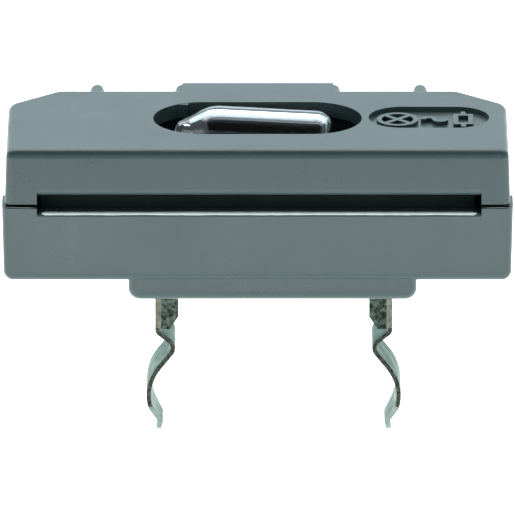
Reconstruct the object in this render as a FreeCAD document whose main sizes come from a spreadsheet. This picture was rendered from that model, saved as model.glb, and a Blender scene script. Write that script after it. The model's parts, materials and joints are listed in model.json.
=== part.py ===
import FreeCAD, Part
import math
import os
import re
import Sketcher
from FreeCAD import Vector

# Plug-in glow lamp insert: a two-part case around a glow lamp and its resistor, with two sprung strip
# contacts below.  X runs along the case, Y to its back and Z up.  The origin is the centre of the flat
# underside of the case.  All sizes are in millimetres and degrees.

DIMENSIONS = {
    # lower case shell
    "base_length": 30.6,
    "base_depth": 12.2,
    "base_height": 4.7,
    "base_wall": 1.0,
    "base_floor": 1.0,
    "base_draft": 1.2,
    "base_round": 0.6,
    "bottom_round": 0.6,
    "end_land": 2.5,
    "end_relief": 0.2,
    # plug boss under the lower shell
    "boss_centre": 0.9,
    "boss_length": 17.3,
    "boss_drop": 1.32,
    "boss_front_inset": 0.3,
    "boss_depth": 9.4,
    "boss_round": 0.7,
    # upper case shell
    "parting_gap": 0.2,
    "lip": 0.17,
    "cover_height": 3.35,
    "cover_wall": 1.15,
    "cover_top": 0.9,
    "cover_draft": 2.0,
    "cover_side_round": 0.5,
    "cover_back_round": 1.2,
    "cover_top_round": 0.5,
    "cut_corner_x": 3.1,
    "cut_corner_y": 2.7,
    "back_relief": 0.32,
    "back_relief_height": 2.4,
    # long slot between the two shells
    "slot_left": 13.2,
    "slot_right": 13.4,
    "slot_below": 0.31,
    "slot_above": 0.5,
    "slot_round": 0.4,
    "slot_lip_round": 0.22,
    # screen behind the slot
    "screen_y": 3.9,
    "screen_thickness": 0.7,
    "screen_length": 26.0,
    "screen_above": 1.3,
    # window over the lamp
    "window_length": 12.55,
    "window_width": 6.02,
    "window_y": 0.35,
    "window_lip_start": 0.3,
    "window_lip_width": 2.1,
    "window_lip_reach": 0.45,
    # recess with the raised marks
    "recess_x": 10.31,
    "recess_y": 0.5,
    "recess_length": 7.25,
    "recess_width": 3.95,
    "recess_depth": 0.3,
    "mark_height": 0.24,
    "mark_root": 0.05,
    "mark_stroke": 0.3,
    "mark_y": 0.35,
    "ring_mark_x": 8.42,
    "ring_mark_size": 2.5,
    "wave_mark_x": 10.65,
    "wave_mark_bend": 0.34,
    "box_mark_x": 12.38,
    "box_mark_width": 1.2,
    "box_mark_length": 1.9,
    "box_mark_tail": 0.45,
    # tongue and ribs on the back of the upper shell
    "tongue_centre": 0.02,
    "tongue_width": 9.15,
    "tongue_reach": 1.2,
    "tongue_thickness": 1.1,
    "rib_round": 0.42,
    "rib_height": 2.9,
    "outer_rib_left": 9.7,
    "outer_rib_right": 9.85,
    # locating tabs on the ends of the upper shell
    "tab_width": 4.0,
    "tab_thickness": 0.8,
    "tab_depth": 1.5,
    "tab_clearance": 0.1,
    # glow lamp
    "lamp_x": -0.2,
    "lamp_y": 0.95,
    "lamp_below_top": 1.63,
    "lamp_tilt": 3.0,
    "lamp_round": 2.0,
    "glass_wall": 0.45,
    "glass_left": 4.8,
    "glass_right": 4.8,
    "shoulder_length": 2.1,
    "seal_length": 1.0,
    "seal_radius": 0.85,
    "dome_round": 1.1,
    "electrode_radius": 0.35,
    "electrode_length": 5.2,
    "electrode_gap": 0.1,
    "lead_radius": 0.2,
    "lead_spacing": 0.9,
    "lead_bend": 0.45,
    "lead_standoff": 0.06,
    # resistor
    "resistor_x": 0.0,
    "resistor_z": 2.3,
    "core_radius": 0.9,
    "core_length": 5.9,
    "coating": 0.15,
    "cap_wall": 0.22,
    "cap_length": 1.2,
    "ferrule_wall": 0.22,
    "ferrule_length": 1.0,
    "ferrule_from_contact": 1.52,
    "sleeve_wall": 0.2,
    "sleeve_gap": 0.06,
    "sleeve_length": 1.5,
    "loop_from_contact": 2.98,
    "loop_below_top": 1.75,
    # cradles that carry lamp and resistor
    "cradle_x": 2.5,
    "cradle_thickness": 0.8,
    "cradle_height": 4.6,
    "cradle_width": 5.8,
    "cradle_clearance": 0.15,
    # contact strips
    "strip": 0.3,
    "contact_centre": 0.98,
    "contact_reach": 7.15,
    "flange_width": 1.4,
    "leaf_width": 3.4,
    "contact_bend": 0.35,
    "blade_rise": 3.6,
    "shank_drop": 4.5,
    "flange_cut_width": 0.5,
    "flange_cut_height": 0.8,
    "leg_gap": 0.06,
    "leg_start": 0.13,
    "leg_waist_reach": 5.845,
    "leg_waist_drop": 5.63,
    "leg_bulge_reach": 8.04,
    "leg_bulge_drop": 8.39,
    "leg_knee_reach": 6.83,
    "leg_knee_drop": 10.9,
    "leg_tip_reach": 6.97,
    "leg_tip_drop": 11.6,
    "leg_root_bend": 0.25,
    "leg_waist_bend": 0.59,
    "leg_bulge_bend": 2.87,
    "leg_knee_bend": 0.3,
    "leg_cut_start": 9.4,
    "leg_cut_reach": 0.4,
    "leg_back_cut": 0.5,
    "solder_round": 0.62,
    "solder_drop": 0.75,
}

SIDES = {"left": -1, "right": 1}
HAIR = "0.01"     # keeps faces of features that merge from lying exactly on each other
SLIVER = "0.002"  # shortest straight left between two rounds

doc = FreeCAD.newDocument("GlowLampInsert")
sheet = doc.addObject("Spreadsheet::Sheet", "Sizes")
for row, (alias, value) in enumerate(DIMENSIONS.items(), start=1):
    sheet.set(f"A{row}", alias)
    sheet.set(f"B{row}", str(value))
    sheet.setAlias(f"B{row}", alias)
doc.recompute()


# ---------------------------------------------------------------- helpers

def sized(text):
    """An expression in plain size names, with each name pointed at its cell of the sheet."""
    def pointed(word):
        return f"Sizes.{word.group()}" if word.group() in DIMENSIONS else word.group()

    return re.sub(r"[a-z_]+", pointed, text)


def bind(item, **properties):
    """Bind properties of a document object to expressions; a double underscore stands for a dot."""
    for name, expression in properties.items():
        item.setExpression(name.replace("__", "."), sized(expression))


def new_body(name):
    body = doc.addObject("PartDesign::Body", name)
    body.Label = name
    return body


def sketch_on(body, name, plane, offset="0"):
    """A sketch on an origin plane of its body, moved along the plane's normal by an expression."""
    sketch = body.newObject("Sketcher::SketchObject", name)
    support = next(item for item in body.Origin.OriginFeatures if item.Role == plane)
    sketch.AttachmentSupport = (support, "")
    sketch.MapMode = "FlatFace"
    bind(sketch, AttachmentOffset__Base__z=offset)
    return sketch


def pin_point(sketch, geometry, end, point):
    """Hold one end of a sketch element at a point given by two expressions."""
    for kind, expression in zip(("DistanceX", "DistanceY"), point):
        value = sketch.evalExpression(sized(expression))
        number = sketch.addConstraint(Sketcher.Constraint(kind, -1, 1, geometry, end, value))
        sketch.setExpression(f"Constraints[{number}]", sized(expression))


def hold_radius(sketch, geometry, expression):
    value = sketch.evalExpression(sized(expression))
    number = sketch.addConstraint(Sketcher.Constraint("Radius", geometry, value))
    sketch.setExpression(f"Constraints[{number}]", sized(expression))


def run_of_lines(sketch, points, closed=True, rounds=()):
    """Straight lines through points given as pairs of expressions.

    rounds lists (corner number, radius expression) pairs; each such corner becomes a tangent arc.
    """
    first = sketch.GeometryCount
    places = [Vector(*(sketch.evalExpression(sized(part)) for part in point), 0) for point in points]
    count = len(points) if closed else len(points) - 1
    for index in range(count):
        sketch.addGeometry(Part.LineSegment(places[index], places[(index + 1) % len(places)]))
    for index in range(count - 1):
        sketch.addConstraint(Sketcher.Constraint("Coincident", first + index, 2, first + index + 1, 1))
    if closed:
        sketch.addConstraint(Sketcher.Constraint("Coincident", first + count - 1, 2, first, 1))
    for index, point in enumerate(points):
        if index < count:
            pin_point(sketch, first + index, 1, point)
        else:
            pin_point(sketch, first + count - 1, 2, point)
    for corner, radius in rounds:
        before = (corner - 1) % len(points)
        sketch.fillet(first + before, 2, sketch.evalExpression(sized(radius)), True, True)
        arc = next(number for number in reversed(range(sketch.GeometryCount))
                   if isinstance(sketch.Geometry[number], Part.ArcOfCircle))
        hold_radius(sketch, arc, radius)
    return sketch


def rectangle(sketch, left, right, low, high, rounds=()):
    corners = [(left, low), (right, low), (right, high), (left, high)]
    return run_of_lines(sketch, corners, rounds=rounds)


def circle(sketch, centre, radius):
    values = [sketch.evalExpression(sized(part)) for part in (*centre, radius)]
    number = sketch.addGeometry(Part.Circle(Vector(values[0], values[1], 0), Vector(0, 0, 1), values[2]))
    pin_point(sketch, number, 3, centre)
    hold_radius(sketch, number, radius)
    return sketch


def obround(sketch, centre, length, width):
    """A straight-sided slot outline with round ends, long side along the sketch's X."""
    x, y = centre
    half = f"({width}) / 2"
    left, right = f"({x}) - ({length}) / 2", f"({x}) + ({length}) / 2"
    corners = [(left, f"({y}) - {half}"), (right, f"({y}) - {half}"),
               (right, f"({y}) + {half}"), (left, f"({y}) + {half}")]
    nearly_half = f"({width}) / 2 - {SLIVER}"
    return run_of_lines(sketch, corners, rounds=[(corner, nearly_half) for corner in (1, 2, 3, 0)])


def extrude(body, kind, sketch, length, reverse=False, **extras):
    """A Pad or Pocket of a sketch; extras are further bound properties, such as a taper."""
    feature = body.newObject(f"PartDesign::{kind}", f"{sketch.Name}{kind}")
    feature.Profile = sketch
    feature.Reversed = reverse
    bind(feature, Length=length, **extras)
    doc.recompute()
    return feature


def revolve(body, kind, sketch, axis):
    feature = body.newObject(f"PartDesign::{kind}", f"{sketch.Name}{kind}")
    feature.Profile = sketch
    feature.ReferenceAxis = (sketch, [axis])
    feature.Angle = 360
    doc.recompute()
    return feature


def round_edges(body, name, radius, wanted):
    """Fillet each edge of the body so far for which wanted(edge) is true."""
    base = body.Tip
    names = [f"Edge{number}" for number, edge in enumerate(base.Shape.Edges, start=1) if wanted(edge)]
    fillet = body.newObject("PartDesign::Fillet", name)
    fillet.Base = (base, names)
    bind(fillet, Radius=radius)
    doc.recompute()
    return fillet


def box_feature(body, kind, name, x, y, z):
    """An additive or subtractive box between pairs of expressions along X, Y and Z."""
    box = body.newObject(f"PartDesign::{kind}Box", name)
    bind(box, Length=f"({x[1]}) - ({x[0]})", Width=f"({y[1]}) - ({y[0]})", Height=f"({z[1]}) - ({z[0]})",
         Placement__Base__x=x[0], Placement__Base__y=y[0], Placement__Base__z=z[0])
    doc.recompute()
    return box


def pipe(body, path, profile):
    feature = body.newObject("PartDesign::AdditivePipe", f"{body.Name}Pipe")
    feature.Profile = profile
    feature.Spine = path
    doc.recompute()
    return feature


def size(expression):
    return sheet.evalExpression(sized(expression))


def lies_at(edge, axis, height, tolerance=0.02):
    """True where every point of an edge has one coordinate at a given height."""
    return all(abs(vertex.Point[axis] - height) < tolerance for vertex in edge.Vertexes)


# ---------------------------------------------------------------- lower shell

COVER_BOTTOM = "(base_height + parting_gap)"
COVER_TOP = f"({COVER_BOTTOM} + cover_height)"
COVER_DEPTH = "(base_depth - 2 * lip)"
COVER_BACK_TOP = f"({COVER_DEPTH} / 2 - cover_height * tan(cover_draft))"
BOSS_FRONT = "(boss_front_inset - base_depth / 2)"
RESISTOR_Y = "(lamp_y - lead_spacing / 2)"
SLEEVED_Y = "(lamp_y + lead_spacing / 2)"
LAMP_Z = f"({COVER_TOP} - lamp_below_top)"
CORE_HALF = "(core_length / 2)"
FRONT_CORNERS = (1, 0)
BACK_CORNERS = (2, 3, 4, 5)


def case_outline(inset):
    """The case seen from above, a rectangle with two cut back corners, moved inwards by an expression."""
    half_length, half_depth = f"(base_length / 2 - {inset})", f"(base_depth / 2 - {inset})"
    slant = "sqrt(cut_corner_x * cut_corner_x + cut_corner_y * cut_corner_y)"
    cut_x = f"(cut_corner_x - {inset} * (cut_corner_x + cut_corner_y - {slant}) / cut_corner_y)"
    cut_y = f"(cut_corner_y - {inset} * (cut_corner_x + cut_corner_y - {slant}) / cut_corner_x)"
    return [(f"-{half_length}", f"-{half_depth}"), (half_length, f"-{half_depth}"),
            (half_length, f"{half_depth} - {cut_y}"), (f"{half_length} - {cut_x}", half_depth),
            (f"{cut_x} - {half_length}", half_depth), (f"-{half_length}", f"{half_depth} - {cut_y}")]


def from_centre(sign, reach):
    """X of a place on one contact, at a reach from the middle between the two."""
    return f"(contact_centre + ({sign}) * ({reach}))"


def contact_outline(sign):
    """Corners of the angle section that a contact's shank has, seen from above."""
    outer = from_centre(sign, "contact_reach")
    inner = from_centre(sign, "contact_reach - strip")
    free = from_centre(sign, "contact_reach - flange_width")
    front, behind, back = "-leaf_width / 2", "strip - leaf_width / 2", "leaf_width / 2"
    return [(outer, front), (outer, back), (inner, back), (inner, behind), (free, behind), (free, front)]


def lamp_point(along):
    """X and Z of a point on the tilted lamp axis, at a distance along it from the lamp's middle."""
    return (f"lamp_x + ({along}) * cos(lamp_tilt)", f"{LAMP_Z} - ({along}) * sin(lamp_tilt)")


def make_base_housing():
    body = new_body("base_housing")
    outline = sketch_on(body, "BaseOutline", "XY_Plane", "base_height")
    run_of_lines(outline, case_outline("0"),
                 rounds=[(corner, "base_round") for corner in FRONT_CORNERS + BACK_CORNERS])
    extrude(body, "Pad", outline, "base_height", reverse=True, TaperAngle="-base_draft")
    round_edges(body, "BottomRound", "bottom_round", lambda edge: lies_at(edge, 2, 0))

    boss = sketch_on(body, "BossOutline", "XY_Plane", "base_floor / 2")
    rectangle(boss, "boss_centre - boss_length / 2", "boss_centre + boss_length / 2",
              BOSS_FRONT, f"{BOSS_FRONT} + boss_depth",
              rounds=[(corner, "boss_round") for corner in (1, 2, 3, 0)])
    extrude(body, "Pad", boss, "boss_drop + base_floor / 2", reverse=True)
    boss_bottom = -size("boss_drop")
    round_edges(body, "BossRound", f"boss_round - {HAIR}", lambda edge: lies_at(edge, 2, boss_bottom))

    cavity = sketch_on(body, "BaseCavity", "XY_Plane", "base_height")
    run_of_lines(cavity, case_outline("base_wall"),
                 rounds=[(corner, "base_round / 2") for corner in FRONT_CORNERS + BACK_CORNERS])
    extrude(body, "Pocket", cavity, "base_height - base_floor")

    box_feature(body, "Subtractive", "BaseSlot", ("-slot_left", "slot_right"),
                ("-base_depth / 2 - lip", "2 * base_wall - base_depth / 2"),
                ("base_height - slot_below", "base_height + lip"))
    lip_top, wall_middle = size("base_height - slot_below"), size("base_wall / 2 - base_depth / 2")
    round_edges(body, "SlotLipRound", "slot_lip_round", lambda edge: lies_at(edge, 2, lip_top)
                and edge.BoundBox.YMax < wall_middle and edge.Length > lip_top)
    box_feature(body, "Additive", "Screen", ("-screen_length / 2", "screen_length / 2"),
                ("-screen_y", "screen_thickness - screen_y"),
                ("base_floor / 2", "base_height + screen_above"))

    for side, sign in SIDES.items():
        ends = ("base_length / 2 - end_relief", "base_length / 2 + lip")
        box_feature(body, "Subtractive", f"{side}EndRelief",
                    ends if sign > 0 else (f"-({ends[1]})", f"-({ends[0]})"),
                    ("end_land - base_depth / 2", "base_depth / 2 + lip"), ("-lip", "base_height + lip"))

        passage = sketch_on(body, f"{side}ContactPassage", "XY_Plane", "base_floor")
        run_of_lines(passage, contact_outline(sign), rounds=[(0, "contact_bend")])
        extrude(body, "Pocket", passage, "base_floor + boss_drop")

        # A cradle holds the lamp on a round saddle, and the resistor in the gap below it.
        centre = f"({sign}) * cradle_x"
        axis_height = f"({LAMP_Z} - ({centre} - lamp_x) * tan(lamp_tilt))"
        cradle = sketch_on(body, f"{side}Cradle", "YZ_Plane", f"{centre} - cradle_thickness / 2")
        rectangle(cradle, "lamp_y - cradle_width / 2", "lamp_y + cradle_width / 2",
                  "base_floor / 2", "base_floor + cradle_height")
        extrude(body, "Pad", cradle, "cradle_thickness")
        saddle = sketch_on(body, f"{side}Saddle", "YZ_Plane", f"{centre} - cradle_thickness / 2")
        circle(saddle, ("lamp_y", axis_height), "lamp_round + cradle_clearance")
        extrude(body, "Pocket", saddle, "cradle_thickness", reverse=True)
        gap_half = "(core_radius + cap_wall + cradle_clearance)"
        box_feature(body, "Subtractive", f"{side}CradleGap",
                    (f"{centre} - cradle_thickness", f"{centre} + cradle_thickness"),
                    (f"{RESISTOR_Y} - {gap_half}", f"{RESISTOR_Y} + {gap_half}"),
                    ("base_floor", "base_floor + 2 * cradle_height"))
    return body


# ---------------------------------------------------------------- upper shell

def add_ribs(body):
    """Four round-topped ribs on the back; the inner two close the ends of the tongue."""
    reach = f"({COVER_BACK_TOP} + tongue_reach - rib_round)"
    centres = ["-outer_rib_left", "tongue_centre - tongue_width / 2",
               "tongue_centre + tongue_width / 2", "outer_rib_right"]
    half_width = f"(rib_round - {HAIR})"
    for number, centre in enumerate(centres, start=1):
        fin = sketch_on(body, f"RibFin{number}", "XZ_Plane", f"-{reach}")
        rectangle(fin, f"{centre} - {half_width}", f"{centre} + {half_width}",
                  f"{COVER_TOP} - rib_height", f"{COVER_TOP} - {HAIR}",
                  rounds=[(corner, f"{half_width} - {HAIR}") for corner in (2, 3)])
        extrude(body, "Pad", fin, f"{reach} - {COVER_BACK_TOP} + cover_wall / 2")
        post = sketch_on(body, f"RibPost{number}", "XZ_Plane", f"-{reach}")
        bind(post, AttachmentOffset__Base__x=centre)
        foot = f"{COVER_TOP} - rib_height - {HAIR}"
        run_of_lines(post, [("0", foot), ("rib_round", foot), ("rib_round", COVER_TOP), ("0", COVER_TOP)],
                     rounds=[(2, f"rib_round - {HAIR}")])
        revolve(body, "Revolution", post, "V_Axis")


def add_marks(body):
    """Raised generic signs in the recess: a lamp, an alternating current wave and a resistor."""
    floor = f"{COVER_TOP} - recess_depth - mark_root"
    rise = "mark_height + mark_root"
    ring = sketch_on(body, "RingMark", "XY_Plane", floor)
    circle(ring, ("ring_mark_x", "mark_y"), "ring_mark_size / 2")
    circle(ring, ("ring_mark_x", "mark_y"), "ring_mark_size / 2 - mark_stroke")
    extrude(body, "Pad", ring, rise)
    for number, slope in enumerate((1, -1), start=1):
        bar = sketch_on(body, f"CrossMark{number}", "XY_Plane", floor)
        far = "(ring_mark_size - mark_stroke) / 2 * cos(45)"
        off = f"({slope}) * mark_stroke / 2 * cos(45)"
        run_of_lines(bar, [
            (f"ring_mark_x - {far} - {off}", f"mark_y - ({slope}) * {far} + abs({off})"),
            (f"ring_mark_x - {far} + {off}", f"mark_y - ({slope}) * {far} - abs({off})"),
            (f"ring_mark_x + {far} + {off}", f"mark_y + ({slope}) * {far} - abs({off})"),
            (f"ring_mark_x + {far} - {off}", f"mark_y + ({slope}) * {far} + abs({off})")])
        extrude(body, "Pad", bar, rise)
    for number, turn in enumerate((-1, 1), start=1):
        centre = Vector(size(f"wave_mark_x + ({turn}) * wave_mark_bend"), size("mark_y"), 0)
        arch = sketch_on(body, f"WaveMark{number}", "XY_Plane", floor)
        add_half_ring(arch, centre, turn)
        extrude(body, "Pad", arch, rise)
    box = sketch_on(body, "BoxMark", "XY_Plane", floor)
    for inset in ("0", "mark_stroke"):
        rectangle(box, f"box_mark_x - box_mark_width / 2 + {inset}",
                  f"box_mark_x + box_mark_width / 2 - {inset}",
                  f"mark_y - box_mark_length / 2 + {inset}",
                  f"mark_y + box_mark_length / 2 - {inset}")
    extrude(body, "Pad", box, rise)
    for number, turn in enumerate((-1, 1), start=1):
        root = f"mark_y + ({turn}) * (box_mark_length / 2 - mark_stroke / 2)"
        tip = f"mark_y + ({turn}) * (box_mark_length / 2 + box_mark_tail)"
        ends = (root, tip) if turn > 0 else (tip, root)
        box_feature(body, "Additive", f"TailMark{number}",
                    ("box_mark_x - mark_stroke / 2", "box_mark_x + mark_stroke / 2"), ends,
                    (floor, f"{floor} + {rise}"))


def add_half_ring(sketch, centre, turn):
    """Half of a flat ring, open downwards for turn -1 and upwards for turn 1."""
    middle, stroke = size("wave_mark_bend"), size("mark_stroke")
    start, stop = (0, math.pi) if turn < 0 else (math.pi, 2 * math.pi)
    outer, inner = [Part.Circle(centre, Vector(0, 0, 1), middle + off) for off in (stroke / 2, -stroke / 2)]
    arcs = [Part.ArcOfCircle(ring, start, stop) for ring in (outer, inner)]
    first = sketch.GeometryCount
    for arc in arcs:
        sketch.addGeometry(arc)
    sketch.addGeometry(Part.LineSegment(arcs[0].StartPoint, arcs[1].StartPoint))
    sketch.addGeometry(Part.LineSegment(arcs[0].EndPoint, arcs[1].EndPoint))
    joins = [(first, 1, first + 2, 1), (first + 1, 1, first + 2, 2),
             (first, 2, first + 3, 1), (first + 1, 2, first + 3, 2)]
    for join in joins:
        sketch.addConstraint(Sketcher.Constraint("Coincident", *join))


def make_top_cover():
    body = new_body("top_cover")
    outline = sketch_on(body, "CoverOutline", "XY_Plane", COVER_BOTTOM)
    run_of_lines(outline, case_outline("lip"),
                 rounds=[(corner, "cover_side_round") for corner in FRONT_CORNERS]
                 + [(corner, "cover_back_round") for corner in BACK_CORNERS])
    extrude(body, "Pad", outline, "cover_height", TaperAngle="-cover_draft")
    top = size(COVER_TOP)
    round_edges(body, "TopRound", "cover_top_round", lambda edge: lies_at(edge, 2, top))

    cavity = sketch_on(body, "CoverCavity", "XY_Plane", COVER_BOTTOM)
    run_of_lines(cavity, case_outline("(lip + cover_wall)"))
    extrude(body, "Pocket", cavity, "cover_height - cover_top", reverse=True, TaperAngle="-cover_draft")

    # Shallow relief along the back edge, between each outer rib and the tongue.
    reliefs = [("-outer_rib_left", "tongue_centre - tongue_width / 2 + rib_round / 2"),
               ("tongue_centre + tongue_width / 2 - rib_round / 2", "outer_rib_right")]
    for number, span in enumerate(reliefs, start=1):
        box_feature(body, "Subtractive", f"BackRelief{number}", span,
                    (f"{COVER_BACK_TOP} - back_relief", f"{COVER_BACK_TOP} + 2 * cover_wall"),
                    (f"{COVER_TOP} - back_relief_height", f"{COVER_TOP} + cover_wall"))
    add_ribs(body)
    box_feature(body, "Additive", "Tongue",
                ("tongue_centre - tongue_width / 2", "tongue_centre + tongue_width / 2"),
                (f"{COVER_BACK_TOP} - cover_wall / 2", f"{COVER_BACK_TOP} + tongue_reach"),
                (f"{COVER_TOP} - tongue_thickness", COVER_TOP))

    window = sketch_on(body, "Window", "XY_Plane", COVER_TOP)
    obround(window, ("0", "window_y"), "window_length", "window_width")
    extrude(body, "Pocket", window, "2 * cover_top")
    lip_right = "window_lip_width - window_length / 2"
    box_feature(body, "Additive", "WindowLip", ("window_lip_start - window_length / 2", lip_right),
                ("window_y + window_width / 2 - window_lip_reach",
                 "window_y + window_width / 2 + window_lip_reach"),
                (f"{COVER_TOP} - cover_top", f"{COVER_TOP} - 2 * {HAIR}"))

    recess = sketch_on(body, "Recess", "XY_Plane", COVER_TOP)
    obround(recess, ("recess_x", "recess_y"), "recess_length", "recess_width")
    extrude(body, "Pocket", recess, "recess_depth")
    add_marks(body)

    box_feature(body, "Subtractive", "CoverSlot", ("-slot_left", "slot_right"),
                (f"-{COVER_DEPTH} / 2 - lip", f"2 * cover_wall - {COVER_DEPTH} / 2"),
                (f"{COVER_BOTTOM} - lip", f"{COVER_BOTTOM} + slot_above"))
    slot_top, wall_middle = size(f"{COVER_BOTTOM} + slot_above"), size(f"cover_wall / 2 - {COVER_DEPTH} / 2")
    round_edges(body, "SlotRound", "slot_round", lambda edge: lies_at(edge, 2, slot_top)
                and edge.BoundBox.YMax < wall_middle and edge.Length > slot_top)

    tab_outer = "(base_length / 2 - base_wall - tab_clearance)"
    for side, sign in SIDES.items():
        ends = (f"{tab_outer} - tab_thickness", tab_outer)
        span = ends if sign > 0 else (f"-{ends[1]}", f"-({ends[0]})")
        box_feature(body, "Additive", f"{side}Tab", span, ("-tab_width / 2", "tab_width / 2"),
                    ("base_height - tab_depth", f"{COVER_BOTTOM} + cover_height / 2"))
    return body


# ---------------------------------------------------------------- glow lamp

def tilt_with_lamp(body):
    """Put a piece that is modelled along X from the lamp's middle onto the tilted lamp axis."""
    body.Placement = FreeCAD.Placement(Vector(), FreeCAD.Rotation(Vector(0, 1, 0), size("lamp_tilt")))
    bind(body, Placement__Base__x="lamp_x", Placement__Base__y="lamp_y", Placement__Base__z=LAMP_Z)


def make_lamp_envelope():
    body = new_body("lamp_envelope")
    outer = sketch_on(body, "GlassOutside", "XZ_Plane")
    run_of_lines(outer, [("-glass_left", "0"), ("-glass_left", "seal_radius"),
                         ("shoulder_length - glass_left", "lamp_round"),
                         ("glass_right", "lamp_round"), ("glass_right", "0")],
                 rounds=[(1, "seal_radius / 2"), (2, "shoulder_length"), (3, "dome_round")])
    revolve(body, "Revolution", outer, "H_Axis")
    inner = sketch_on(body, "GlassInside", "XZ_Plane")
    left, right = "(seal_length - glass_left)", "(glass_right - glass_wall)"
    bore = "(lamp_round - glass_wall)"
    run_of_lines(inner, [(left, "0"), (left, "electrode_radius + lead_spacing / 2 + electrode_gap"),
                         (f"{left} + shoulder_length / 2", bore), (right, bore), (right, "0")],
                 rounds=[(2, "shoulder_length / 2"), (3, "dome_round - glass_wall")])
    revolve(body, "Groove", inner, "H_Axis")
    holes = sketch_on(body, "LeadHoles", "YZ_Plane", "-glass_left")
    for sign in SIDES.values():
        circle(holes, (f"({sign}) * lead_spacing / 2", "0"), "lead_radius")
    extrude(body, "Pocket", holes, f"seal_length + {HAIR}", reverse=True)
    tilt_with_lamp(body)
    return body


def make_electrode(name, sign):
    body = new_body(name)
    section = sketch_on(body, f"{name}Section", "YZ_Plane",
                        "seal_length - glass_left + electrode_gap")
    circle(section, (f"({sign}) * lead_spacing / 2", "0"), "electrode_radius")
    extrude(body, "Pad", section, "electrode_length")
    round_edges(body, f"{name}Round", "electrode_radius / 3", lambda edge: True)
    tilt_with_lamp(body)
    return body


def make_wire(name, points, across, start_angle, bend="lead_bend"):
    """Round wire along a run in an upright plane; start_angle turns its first cross-section."""
    body = new_body(name)
    path = sketch_on(body, f"{name}Path", "XZ_Plane", f"-{across}")
    corners = [(corner, bend) for corner in range(1, len(points) - 1)]
    run_of_lines(path, points, closed=False, rounds=corners)
    section = sketch_on(body, f"{name}Section", "YZ_Plane")
    bind(section, AttachmentOffset__Base__x=across, AttachmentOffset__Base__y=points[0][1],
         AttachmentOffset__Base__z=points[0][0])
    section.AttachmentOffset = FreeCAD.Placement(
        section.AttachmentOffset.Base, FreeCAD.Rotation(Vector(1, 0, 0), start_angle))
    circle(section, ("0", "0"), "lead_radius")
    pipe(body, path, section)
    return body


# ---------------------------------------------------------------- resistor and splice

def turned_piece(name, outline, along, across, height):
    """A piece turned about an axis along X, from (x, radius) corners, placed by expressions."""
    body = new_body(name)
    profile = sketch_on(body, f"{name}Profile", "XZ_Plane")
    run_of_lines(profile, outline)
    revolve(body, "Revolution", profile, "H_Axis")
    bind(body, Placement__Base__x=along, Placement__Base__y=across, Placement__Base__z=height)
    return body


def tube_outline(start, stop, inner, outer):
    return [(start, inner), (stop, inner), (stop, outer), (start, outer)]


def make_resistor():
    place = ("resistor_x", RESISTOR_Y, "resistor_z")
    half = CORE_HALF
    turned_piece("resistor_core", tube_outline(f"-{half}", half, "0", "core_radius"), *place)
    clear = f"({half} + cap_wall - cap_length)"
    turned_piece("resistor_coating",
                 tube_outline(f"-{clear}", clear, "core_radius", "core_radius + coating"), *place)
    for side, sign in SIDES.items():
        end, rim = f"({sign}) * ({half} + cap_wall)", f"({sign}) * {clear}"
        turned_piece(f"{side}_resistor_cap", [
            (end, "0"), (end, "core_radius + cap_wall"), (rim, "core_radius + cap_wall"),
            (rim, "core_radius"), (f"({sign}) * {half}", "core_radius"), (f"({sign}) * {half}", "0")], *place)


RESISTOR_END = f"({CORE_HALF} + cap_wall)"
CONTACT_INSIDE = "(contact_reach - strip)"
LEAD_FROM_CONTACT = "(lead_radius + lead_standoff)"
FERRULE_X = from_centre(-1, f"{CONTACT_INSIDE} - ferrule_from_contact")
LOOP_X = from_centre(1, "contact_reach - loop_from_contact")
LOOP_Z = f"({COVER_TOP} - loop_below_top)"
LEAD_FOOT = "(base_floor + blade_rise - 2 * solder_drop)"


def make_leads():
    """The two lamp leads, the two resistor leads, and the ferrule and sleeve on them."""
    inside = lamp_point("seal_length - glass_left + electrode_gap")
    outside = lamp_point("-glass_left - lead_bend")
    tilt = size("lamp_tilt")
    splice_turn = (f"{outside[0]} - lead_standoff", "resistor_z")
    make_wire("front_lamp_lead", [inside, outside, splice_turn, (FERRULE_X, "resistor_z")],
              RESISTOR_Y, tilt)
    left_lead_x = from_centre(-1, f"{CONTACT_INSIDE} - {LEAD_FROM_CONTACT}")
    make_wire("rear_lamp_lead", [inside, (left_lead_x, outside[1]), (left_lead_x, LEAD_FOOT)],
              SLEEVED_Y, tilt, bend="lead_bend / 2")
    make_wire("left_resistor_lead",
              [(f"resistor_x - {RESISTOR_END}", "resistor_z"), (FERRULE_X, "resistor_z")], RESISTOR_Y, 0)
    right_lead_x = from_centre(1, f"{CONTACT_INSIDE} - {LEAD_FROM_CONTACT}")
    make_wire("right_resistor_lead", [
        (f"resistor_x + {RESISTOR_END}", "resistor_z"), (LOOP_X, "resistor_z"), (LOOP_X, LOOP_Z),
        (right_lead_x, LOOP_Z), (right_lead_x, LEAD_FOOT)], RESISTOR_Y, 0)
    turned_piece("splice_ferrule",
                 tube_outline("-ferrule_length / 2", "ferrule_length / 2", "lead_radius",
                              "lead_radius + ferrule_wall"), FERRULE_X, RESISTOR_Y, "resistor_z")
    sleeve = new_body("insulating_sleeve")
    ring = sketch_on(sleeve, "SleeveSection", "XY_Plane", "base_floor + blade_rise + sleeve_gap")
    circle(ring, (left_lead_x, SLEEVED_Y), "lead_radius")
    circle(ring, (left_lead_x, SLEEVED_Y), "lead_radius + sleeve_wall")
    extrude(sleeve, "Pad", ring, "sleeve_length")


# ---------------------------------------------------------------- contacts

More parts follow.
